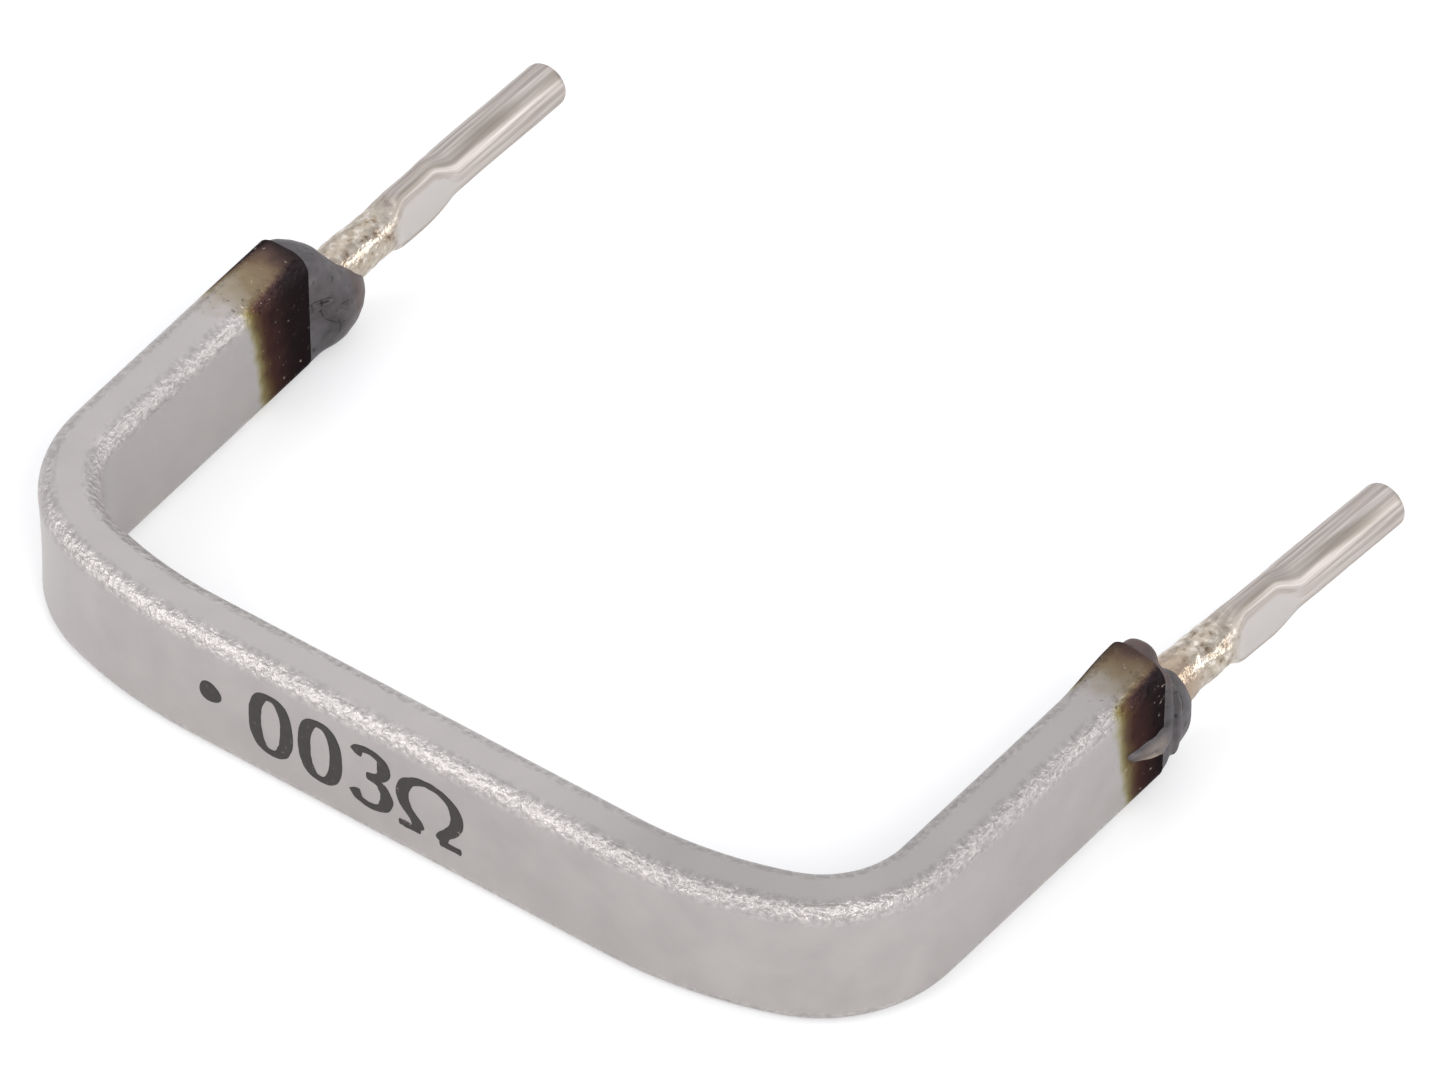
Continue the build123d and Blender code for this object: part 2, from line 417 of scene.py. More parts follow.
@dataclass(frozen=True)
class FrozenWeld:
    """Weld metal that melted in air and froze with its own oxide skin.

    The skin is matte dark grey with purple-brown clouds, a few black cracks and pits, and no clean metal.
    """

    cloud_mm: float = 0.7
    pit_mm: float = 0.22
    crack_mm: float = 0.75

    def material(self) -> Material:
        """Builds the finish.

        Returns:
            The node material, which reads the warm mark and a mark of scraped tint and painted highlight.
        """
        made, add = new_material("oxidised_weld_metal")
        place = add("TexCoord", output="Object")
        warm, scrape_and_highlight = (add("Attribute", output="Fac", attribute_name=name) for name in ("warm", "scrape_and_highlight"))
        cloud = add(
            "TexNoise", {"Vector": place, "Scale": 1 / (self.cloud_mm * MM), "Detail": 4.0, "Distortion": 0.6}
        )
        grey_stops = {0.30: "#3F3B3C", 0.45: "#4F4B4D", 0.58: "#5A5659", 0.72: "#6A6668"}
        grey = add("ValToRGB", [cloud], stops=grey_stops)
        brown = add("ValToRGB", [cloud], stops={0.30: "#453A3B", 0.5: "#574844", 0.72: "#655852"})
        skin = add("Mix", {0: warm, 6: grey, 7: brown}, 2, data_type="RGBA")
        # The lighter colour is half a scraped tint on the tongue, and fully a painted highlight on its proud
        # rim
        scraped_and_highlit = add("Mix", {0: scrape_and_highlight, 6: skin, 7: linear("#9A8B7E")}, 2, data_type="RGBA")
        pits = add("TexNoise", {"Vector": place, "Scale": 1 / (self.pit_mm * MM), "Detail": 2.0})
        pit_light = add("MapRange", (pits, 0.25, 0.36, 0.45, 1.0))
        # Cracks: the borders of a few cells, shown only where the clouds are darkest
        crack_cells = {"Vector": place, "Scale": 1 / (self.crack_mm * MM)}
        cells = add("TexVoronoi", crack_cells, feature="DISTANCE_TO_EDGE")
        crack_light = add("MapRange", (cells, 0.004, 0.03, 0.35, 1.0))
        crack_where = add("MapRange", (cloud, 0.36, 0.40, 0.0, 1.0))
        crack_shown = add("Math", (crack_light, crack_where), operation="MAXIMUM")
        dark = add("Math", (crack_shown, pit_light), operation="MULTIPLY")
        tone = add("VectorMath", {0: scraped_and_highlit, "Scale": dark}, operation="SCALE")
        pit_bump = add("Bump", {"Strength": 0.5, "Distance": 0.03 * MM, "Height": pits})
        bump = add("Bump", {"Strength": 0.8, "Distance": 0.03 * MM, "Height": dark, "Normal": pit_bump})
        look = {"Base Color": tone, "Metallic": 0.55, "Roughness": 0.5, "Normal": bump}
        add("OutputMaterial", {"Surface": add("BsdfPrincipled", look)})
        return made


@dataclass(frozen=True)
class MarkingInk:
    """Black-brown solvent marking ink, pad printed: matte, and thin enough for the grain to break it."""

    wear_mm: float = 0.14

    def material(self) -> Material:
        """Builds the finish.

        Returns:
            The node material.
        """
        made, add = new_material("pad_printed_ink")
        place = add("TexCoord", output="Object")
        wear = add(
            "TexNoise", {"Vector": place, "Scale": 1 / (self.wear_mm * MM), "Detail": 4.0, "Roughness": 0.65}
        )
        tone = add("ValToRGB", [wear], stops={0.28: "#746C67", 0.35: "#261F1D", 0.70: "#1C1614"})
        add("OutputMaterial", {"Surface": add("BsdfPrincipled", {"Base Color": tone, "Roughness": 0.6})})
        return made


@dataclass(frozen=True)
class PaperFloor:
    """Matt white studio paper, which keeps a soft shadow and shows white to the eye and to the metal."""

    glow: float = 0.27

    def material(self) -> Material:
        """Builds the finish.

        Returns:
            The node material.
        """
        made, add = new_material("matt_studio_paper")
        rays = [add("LightPath", output=f"Is {kind} Ray") for kind in ("Camera", "Glossy", "Transmission")]
        seen = add("Math", rays[:2], operation="ADD", use_clamp=True)
        seen_through = add("Math", (seen, rays[2]), operation="ADD", use_clamp=True)
        strength = add("Math", (seen_through, self.glow), operation="MULTIPLY")
        paper = add("BsdfDiffuse", {"Color": linear("#D2D2D2"), "Roughness": 0.0})
        glow = add("Emission", {"Color": linear("#FFFFFF"), "Strength": strength})
        add("OutputMaterial", {"Surface": add("AddShader", (paper, glow))})
        return made


# The bar


# How cold the metal stayed beside each weld: distances from the cut end in mm, and the temper mark there
FACE_TEMPER = {
    Side.LEFT: ((0, 0.55, 0.9, 1.25, 1.45, 1.58, 1.8, 2.1), (0, 0.28, 0.42, 0.56, 0.7, 0.8, 1, 1.12)),
    Side.RIGHT: ((0, 0.4, 0.75, 1.0, 1.2, 1.45, 1.8), (0.12, 0.38, 0.52, 0.65, 0.79, 1, 1.12)),
}
LID_TEMPER = {
    Side.LEFT: ((0, 0.4, 0.8, 1.5, 2.4, 2.8), (0.34, 0.5, 0.62, 0.8, 1.0, 1.12)),
    Side.RIGHT: ((0, 0.25, 0.6, 1.0, 1.6, 2.0), (0.5, 0.61, 0.73, 0.86, 1.0, 1.12)),
}


@dataclass
class ResistanceBar:
    """The U of alloy bar: one rounded section carried along tangent lines and arcs.

    Attributes:
        thickness: The section across the bends, in mm, as are the other lengths.
        height: The section up from the floor.
        edge_radius: The rolled corners.
        knuckle_radius: The tight part of each bend.
        web_left: Where the web's straight run starts, on X.
        web_right: Where it ends.
        ease_radii: The slack part of the left and right bend.
        ease_angles: How far each slack part turns, in degrees.
        splay: How far the right arm leans outwards, in degrees.
        arms: The straight runs of the left and right arm.
        left_end: The middle of the left cut end, seen from above.
        bend_hollow: How far a bend's outer face sinks between its edges.
        bend_ease: How far before and after a bend's start and end the hollow comes and goes.
        end_swell: How far the weld has upset the right end's inner, upper corner, for each mm across.
        end_lift: How far it has lifted that corner.
        end_reach: How far back from the cut that corner is upset.
        end_levels: How far above the bar's middle the upset starts and is full.
        tint_slant: How far the oxide's border leans towards the cut end for each mm up.
        wear_and_shade: Where the painted shade on the right starts and is full, from where the web starts.
        shade_levels: How far from the bar's middle the painted shade starts and is full.
        run_squeeze: How far the run mark is squeezed along the bar, which draws its scratches long.
        row_step: The distance between rings.
    """

    thickness: float = 1.27
    height: float = 3.18
    edge_radius: float = 0.42
    knuckle_radius: float = 2.55
    web_left: float = -5.373
    web_right: float = 4.757
    ease_radii: Pair = (10.2, 9.7)
    ease_angles: Pair = (17.0, 21.0)
    splay: float = 2.5
    arms: Pair = (6.066, 6.713)
    left_end: Pair = (-10.16, 8.95)
    bend_hollow: float = 0.045
    bend_ease: float = 0.6
    end_swell: float = 0.11
    end_lift: float = 0.088
    end_reach: float = 1.9
    end_levels: Pair = (0.6, 1.5)
    tint_slant: float = 0.16
    wear_and_shade: Pair = (7.5, 11.5)
    shade_levels: Pair = (1.3, 1.52)
    run_squeeze: float = 0.07
    row_step: float = 0.06

    def knots(self) -> tuple[Array, Array]:
        """The ends of the runs and arcs from the left cut end to the right one.

        Returns:
            Arc lengths, and the heading at each in radians from +X.
        """
        left, right = self.ease_angles
        turns = [0.0, 90 - left, left, 0.0, right, 90 - self.splay - right, 0.0]
        knuckle = self.knuckle_radius
        radii = [0.0, knuckle, self.ease_radii[0], 0.0, self.ease_radii[1], knuckle, 0.0]
        lengths = np.radians(turns) * radii
        lengths[[0, 3, 6]] = self.arms[0], self.web_right - self.web_left, self.arms[1]
        places = np.concatenate([[0], np.cumsum(lengths)])
        return places, np.radians(-90 + np.concatenate([[0], np.cumsum(turns)]))

    def line(self, places: Array) -> tuple[Array, Array]:
        """Points and headings of the centre line.

        The heading is linear in arc length between the knots, and a point is the sum of the short steps
        before it, each taken at its middle heading.

        Args:
            places: Rising arc lengths from the left cut end, from 0.

        Returns:
            Points as rows of x and y, and headings in radians.
        """
        knots, turned = self.knots()
        heading = np.interp(places, knots, turned)
        middle = np.interp((places[1:] + places[:-1]) / 2, knots, turned)
        steps = np.stack([np.cos(middle), np.sin(middle)], -1) * np.diff(places)[:, None]
        return np.vstack([[0, 0], np.cumsum(steps, axis=0)]) + self.left_end, heading

    def section(self) -> tuple[Array, Array, Array]:
        """The rounded section, anticlockwise from the top of its inner face.

        A corner is an arc of the edge radius about the inset corner point, and the sides join the arcs.

        Returns:
            Distances across and up from the middle, and the share by which each point is a corner.
        """
        inset = np.array([self.thickness / 2, self.height / 2]) - self.edge_radius
        arc = np.radians(np.linspace(0, 90, 11))
        turns = arc + np.arange(4)[:, None] * math.pi / 2
        round_arcs = self.edge_radius * np.stack([np.cos(turns), np.sin(turns)], -1)
        corners = np.array([[1, 1], [-1, 1], [-1, -1], [1, -1]])[:, None] * inset + round_arcs
        points, corner = [], []
        for number, count in enumerate((3, 15, 3, 15)):
            start, end = corners[number, -1], corners[(number + 1) % 4, 0]
            side = start + (end - start) * np.linspace(0, 1, count + 2)[1:-1, None]
            points += [corners[number], side]
            corner += [np.sin(2 * arc) ** 0.6, np.zeros(count)]
        across, up = np.concatenate(points).T
        return across, up, np.concatenate(corner)

    def bend_share(self, places: Array) -> Array:
        """How far each place is into a tight bend, from 0 to 1, eased over the bend's ease each way."""
        ease = self.bend_ease
        past = [ease_between(places, knot - ease, knot + ease) for knot in self.knots()[0]]
        return np.maximum(past[1] * (1 - past[2]), past[5] * (1 - past[6]))

    def lid(self, up: Array) -> Array:
        """How far each height belongs to the upper or lower edge, from 0 on a tall face to 1."""
        return ease_between(np.abs(up), self.height / 2 - self.edge_radius * 0.35, self.height / 2 - 0.01)

    def painted_shade(self, places: Array, across: Array, up: Array) -> Array:
        """Painted shade on the right bend and arm's narrow edges, and a little on the inner faces."""
        far = ease_between(places - self.knots()[0][3], *self.wear_and_shade)
        right = far * ease_between(np.abs(up), *self.shade_levels)
        cloud = 0.2 * lattice_noise(np.stack([places, across, up], -1), 1.3, 8)
        return np.clip(right * (0.75 + cloud) + 0.3 * (across > 0.6) * (np.abs(up) < 1.4), 0, 1)

    def temper(self, places: Array, across: Array, up: Array) -> Array:
        """How cold the metal stayed while it was welded, from 0 at its hottest to 1 for bare grey.

        The distance from the nearer cut end is read off one curve on the tall faces and another on the
        upper and lower edges, and the two are blended over the corner.

        Args:
            places: Arc length of each point.
            across: Distance of each point across the section.
            up: Distance of each point up from the middle.

        Returns:
            The mark for each point.
        """
        total = self.knots()[0][-1]
        points = np.stack([places, across * 2, up], -1)
        wave = 0.1 * lattice_noise(points, 0.8, 3) + 0.03 * lattice_noise(points, 0.3, 4)
        lid, marks = self.lid(up), []
        for side, away in ((Side.LEFT, places + wave), (Side.RIGHT, total - places + wave)):
            face = np.interp(away - self.tint_slant * up, *FACE_TEMPER[side])
            marks.append(face + (np.interp(away, *LID_TEMPER[side]) - face) * lid)
        return np.minimum(*marks)

    def skin(self) -> Shell:
        """Carries the section along the centre line.

        A point is the line's point, plus its distance across along the left normal, plus its height. A
        bend's outer face sinks by the hollow times one minus the square of its height, eased along the
        bend. The cut ends are closed by two smaller rings and a pole.

        Returns:
            The closed skin with its marks.
        """
        length = self.knots()[0][-1]
        places = np.linspace(0, length, int(round(length / self.row_step)) + 1)
        middle, heading = self.line(places)
        across, up, corner = self.section()
        shrink = np.ones(len(places) + 4)
        shrink[:2], shrink[-2:] = (0.3, 0.7), (0.7, 0.3)
        order = np.concatenate([[0, 0], np.arange(len(places)), [-1, -1]])
        places, middle, heading = places[order], middle[order], heading[order]
        normal = np.stack([-np.sin(heading), np.cos(heading)], -1)
        outer = (across < 0) * (1 - (up / (self.height / 2)) ** 2)
        side = across + self.bend_hollow * self.bend_share(places)[:, None] * outer
        swell = ease_between(places, length - self.end_reach, length)[:, None]
        swell = swell * ease_between(up, *self.end_levels)
        side = (side + self.end_swell * swell * (across > -0.3) * (across + 0.3)) * shrink[:, None]
        lift = (up + self.end_lift * swell * ease_between(across, -0.5, 0.3)) * shrink[:, None]
        rings = np.empty((*side.shape, 3))
        rings[..., :2] = middle[:, None, :] + side[..., None] * normal[:, None, :]
        rings[..., 2] = lift + self.height / 2
        long = np.broadcast_to(places[:, None], side.shape)
        marks = {
            "temper": self.temper(long, side, lift),
            "edge": np.broadcast_to(corner, side.shape).copy(),
            "lid": self.lid(lift),
            "run": np.stack([long * self.run_squeeze, side, lift], -1),
            # Painted shade on the right's narrow edges and the inner faces
            "painted_shade": self.painted_shade(long, side, lift),
        }
        ends = tuple(np.array([*middle[i], self.height / 2]) for i in (0, -1))
        return Shell(rings, ends, marks)

    def build(self) -> bpy.types.Object:
        """Builds and dresses the bar, which stands for its CAD node.

        Returns:
            The piece.
        """
        piece = make_piece("bar_skin", [self.skin()], BareAlloy().material())
        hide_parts("resistance_bar")
        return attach(piece, "root")


@dataclass
class CutEnd:
    """The place and heading of one cut end of the bar, and of the lead that is welded to it.

    Attributes:
        side: Which end it is.
        middle: The middle of the cut, seen from above, in mm.
        arm_turn: The arm's heading, in degrees clockwise from +Y.
        lead_turn: The lead's heading, the same way.
        inset: How far the lead's root sits towards the other lead, measured along the cut to its right.
        level: The height of the bar's middle.
    """

    side: Side
    middle: Pair
    arm_turn: float
    lead_turn: float
    inset: float
    level: float = 1.59

    def axes(self, turn: float) -> tuple[Array, Array]:
        """Right and forward directions for a heading in degrees clockwise from +Y."""
        t = math.radians(turn)
        return np.array([math.cos(t), -math.sin(t), 0]), np.array([math.sin(t), math.cos(t), 0])

    def origin(self) -> Array:
        """The middle of the cut end."""
        return np.array([*self.middle, self.level])

    def root(self) -> Array:
        """The lead's root on the cut end."""
        return self.origin() + self.axes(self.arm_turn)[0] * self.inset

    def place(self, local: Array) -> Array:
        """Turns distances to the right, forward and up from the cut end to points in the frame."""
        right, forward = self.axes(self.arm_turn)
        return self.origin() + local @ np.array([right, forward, (0, 0, 1)])


LEFT_END = CutEnd(Side.LEFT, (-10.16, 8.95), 0.0, 2.4, 0.1)
RIGHT_END = CutEnd(Side.RIGHT, (10.16, 9.62), 2.5, 5.9, -0.1)


# The leads


@dataclass
class CrimpedLead:
    """A tinned wire with one crimp that spreads it up and down, and a round stub past it.

    Attributes:
        end: The cut end that it is welded to.
        length: Root to tip in mm, as are the other lengths.
        crimp_to_tip: The middle of the crimp to the tip.
        bead_length: How far the weld covers it.
        diameter: The round wire.
        flat: The crimp's straight middle.
        shoulder: Each taper from round to pinched.
        thickness: The pinched wire across.
        width: The pinched wire up and down.
        face_angle: Half the turn of a pinched face, in degrees.
        tip_rounding: The radius round the tip.
        sags: How far it hangs below its line at the neck, how much more at the crimp, and at the tip.
        flare: How far the melted tin swells where it runs onto the weld.
        tan: How far the heat has browned it there, from 0 to 1.
        root_slim: How much slimmer the wire has melted inside the bead.
        melt_span: How far before the crimp the melted tin starts to fade.
        lumps: The height and cell of the frozen tin's coarse lumps, and of its fine ones.
        waves: The height and cell of the drawn skin's unevenness.
        draw_squeeze: How far the draw mark is squeezed along the wire, which draws its lines long.
        dome: How far the end face bulges.
        crowding: How far the columns crowd towards the pinched faces, in radians of the normal's turn.
        start: How far out of the cut end the skin starts, inside the bead.
        rows: Rings from there to the rim of the tip.
        columns: Points in each ring.
        seed: Picks the lumps.
    """

    end: CutEnd
    length: float
    crimp_to_tip: float
    bead_length: float
    diameter: float = 1.0
    flat: float = 0.8
    shoulder: float = 0.75
    thickness: float = 0.64
    width: float = 1.45
    face_angle: float = 9.0
    tip_rounding: float = 0.2
    sags: tuple[float, float, float] = (0.05, 0.05, 0.0)
    flare: float = 0.0
    tan: float = 0.15
    root_slim: float = 0.14
    melt_span: float = 0.9
    lumps: tuple[Pair, Pair] = ((0.018, 0.34), (0.012, 0.15))
    waves: Pair = (0.012, 0.5)
    draw_squeeze: float = 0.035
    dome: float = 0.03
    crowding: float = 0.28
    start: float = 0.3
    rows: int = 190
    columns: int = 112
    seed: int = 11

    def section(self, press: Array, turn: Array) -> tuple[Array, Array, Array]:
        """Points of the four-arc section, by the direction of its normal.

        Two face arcs and two edge arcs are tangent where the normal is at the face angle. With s half the
        spread between width and thickness, the arcs' centres are s / (sin + cos - 1) apart along each
        axis, and a point is its arc's centre plus its radius along the normal.

        Args:
            press: How far each row is pinched, from 0 to 1, as a column.
            turn: The normal's direction for each column, as a row.

        Returns:
            Distances across and up, and 1 where a point is on a fully pinched face.
        """
        thick = self.diameter + (self.thickness - self.diameter) * press
        wide = self.diameter + (self.width - self.diameter) * press
        angle = np.radians(self.face_angle + (45 - self.face_angle) * (1 - press) ** 4)
        gap = (wide - thick) / 2 / (np.sin(angle) + np.cos(angle) - 1)
        edge_arc = wide / 2 - gap * np.sin(angle)
        face_arc = edge_arc + gap
        on_face = np.abs(np.sin(turn)) <= np.sin(angle)
        radius = np.where(on_face, face_arc, edge_arc)
        centre_across = np.where(on_face, np.sign(np.cos(turn)) * (thick / 2 - face_arc), 0)
        centre_up = np.where(on_face, 0, np.sign(np.sin(turn)) * (wide / 2 - edge_arc))
        across, up = centre_across + radius * np.cos(turn), centre_up + radius * np.sin(turn)
        return across, up, on_face * (1 - (1 - press) ** 4)

    def painted_dark_reflection(self, along: Array, turn: Array) -> Array:
        """A painted dark reflection a third of the way round, wandering a little, by distance and direction.
        """
        middle = math.radians(118) + 0.16 * np.sin(along * 1.1 + self.seed)
        off = np.abs(np.mod(turn - middle + math.pi, 2 * math.pi) - math.pi)
        return 0.8 * (1 - ease_between(off, 0.10, 0.42)) * (0.7 + 0.3 * np.sin(along * 2.3))

    def skin(self) -> Shell:
        """Carries the section along the wire.

        The pinch is half a cosine wave over each shoulder. The root has melted into the bead, so it starts
        a little way out and slimmer. Lumps of frozen tin move a point along its normal by noise that fades
        past the crimp's near shoulder. The rim of the tip is a quarter circle, and the end face a low dome.

        Returns:
            The closed skin with its marks.
        """
        straight = np.linspace(self.start, self.length - self.tip_rounding, self.rows)
        bend = np.radians(np.linspace(0, 90, 9))[1:]
        rim = self.length - self.tip_rounding + self.tip_rounding * np.sin(bend)
        dome_share = np.linspace(0, 1, 7)[1:-1]
        along = np.concatenate([straight, rim, np.full(5, self.length)])[:, None]
        inset = np.concatenate(
            [
                self.root_slim * (1 - ease_between(straight, 0.4, self.bead_length - 0.4))
                - self.flare * (1 - ease_between(straight, self.bead_length - 0.5, self.bead_length + 0.5)),
                self.tip_rounding * (1 - np.cos(bend)),
                self.tip_rounding + (self.diameter / 2 - self.tip_rounding) * dome_share,
            ]
        )[:, None]
        column = np.arange(self.columns) / self.columns
        # The last term keeps every normal off the exact axes, where a sign would be 0
        turn = (2 * math.pi * column - self.crowding * np.sin(4 * math.pi * column))[None, :] + 1e-6
        crimp = self.length - self.crimp_to_tip
        far = np.abs(along - crimp) - self.flat / 2
        press = (1 + np.cos(math.pi * np.clip(far / self.shoulder, 0, 1))) / 2
        across, up, face = self.section(press, turn)
        past = ease_between(along, crimp, crimp + 1.2)
        drop = self.sags[0] + (self.sags[2] - self.sags[0]) * past + self.sags[1] * press
        pinched = crimp - self.flat / 2
        melt = (1 - ease_between(along, pinched - self.melt_span, pinched + 0.1)) * (1 - 0.8 * face)
        spread = np.ones(across.shape)
        circle = [self.diameter / 2 * part * spread for part in (np.cos(turn), np.sin(turn))]
        draw = np.stack([*circle, along * self.draw_squeeze * spread], -1)
        solid = np.stack([across, up, along * spread], -1)
        coarse, fine = (
            height * lattice_noise(solid, cell, self.seed + number)
            for number, (height, cell) in enumerate(self.lumps)
        )
        height, cell = self.waves
        soft = height * lattice_noise(draw * np.array([1, 1, 8]), cell, self.seed + 2)
        push = (coarse + fine) * (melt + 0.15 * (1 - face)) + soft - inset
        across, up = across + push * np.cos(turn), up + push * np.sin(turn) - drop
        right, forward = self.end.axes(self.end.lead_turn)
        lift = self.dome * ease_between(inset, self.tip_rounding, self.diameter / 2)
        rings = self.end.root() + (along + lift)[..., None] * forward - across[..., None] * right
        rings = rings + up[..., None] * np.array([0, 0, 1.0])
        poles = (rings[0].mean(axis=0), rings[-1].mean(axis=0) + 0.002 * forward)
        covered = 1 - ease_between(along, self.bead_length - 0.1, self.bead_length + 0.35)
        marks = {
            "draw": draw,
            "melt": melt,
            "tip": ease_between(inset, 0.05, 0.2) * (along > self.bead_length) * spread,
            # A dark reflection painted a third of the way round, fainter on the melted tin
            "painted_dark_reflection": self.painted_dark_reflection(along, turn) * (1 - 0.6 * melt),
            "pinch": face,
            "root": self.tan * covered * spread,
        }
        return Shell(rings, poles, marks)

    def build(self, finish: Material) -> bpy.types.Object:
        """Builds and dresses the lead, which stands for its CAD node.

        Args:
            finish: The tinned wire's material.

        Returns:
            The piece.
        """
        name = self.end.side.value
        piece = make_piece(f"lead_{name}_wire", [self.skin()], finish)
        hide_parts(f"lead_{name}")
        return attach(piece, "root")


# The welds


@dataclass(frozen=True)
class Lump:
    """One rounded lump of melt.

    Attributes:
        centre: Distances to the right, forward and up from the cut end, in mm.
        reach: Its half size along each.
        power: 2 for an egg, more for a squarer form.
        lean: How far its forward axis is turned up, in degrees.
        hollow: Whether it is a dent.
    """

    centre: Point
    reach: Point
    power: float = 2.0
    lean: float = 0.0
    hollow: bool = False

    def distance(self, local: Array) -> Array:
        """Distance from the centre in reaches: the power mean of the three shares along its own axes."""
        away = local - np.array(self.centre)
        c, s = math.cos(math.radians(self.lean)), math.sin(math.radians(self.lean))
        right, forward, up = np.moveaxis(away, -1, 0)
        turned = np.stack([right, forward * c + up * s, up * c - forward * s], -1)
        return ((np.abs(turned) / np.array(self.reach)) ** self.power).sum(-1) ** (1 / self.power)


@dataclass(frozen=True)
class Neck:
    """The shoulder of melt that narrows from the bar's full section to a collar on the lead.

    Attributes:
        places: Distances forward of the cut end, in mm, as are the other lengths.
        tops: How far it reaches up at each.
        bottoms: How far it reaches down.
        halves: Half its width.
        lead: Where the lead's line passes the cut end, to the right.
        lean: How far that line moves to the right for each millimetre forward.
        edge_radius: The bar's rolled corners.
        hollow: Whether it is a dent.
    """

    places: Sequence[float]
    tops: Sequence[float]
    bottoms: Sequence[float]
    halves: Sequence[float]
    lead: float
    lean: float
    edge_radius: float = 0.42
    hollow: bool = False

    def distance(self, local: Array) -> Array:
        """Distance from the inset section in corner radii: 1 on the skin of a rounded section.

        The section's corners grow from the bar's to a full round at the collar. Past either end the
        distance rises by 1 in a tenth or a fifth of a millimetre, which closes the form.
        """
        forward = local[..., 1]
        top, bottom, half = (
            np.interp(forward, *smooth_path(list(zip(self.places, sizes)), 120).T)
            for sizes in (self.tops, self.bottoms, self.halves)
        )
        share = ease_between(forward, 0.0, self.places[-1] * 0.8)
        tall = (top + bottom) / 2
        corner = np.minimum(half, tall) * (share + (1 - share) * self.edge_radius / self.halves[0])
        right = local[..., 0] - (self.lead + self.lean * forward) * share
        over = np.hypot(
            np.maximum(np.abs(right) - (half - corner), 0),
            np.maximum(np.abs(local[..., 2] - (top - bottom) / 2) - (tall - corner), 0),
        )
        past = np.maximum(forward - self.places[-1], 0) / 0.2 + np.maximum(self.places[0] - forward, 0) / 0.1
        return over / corner + past


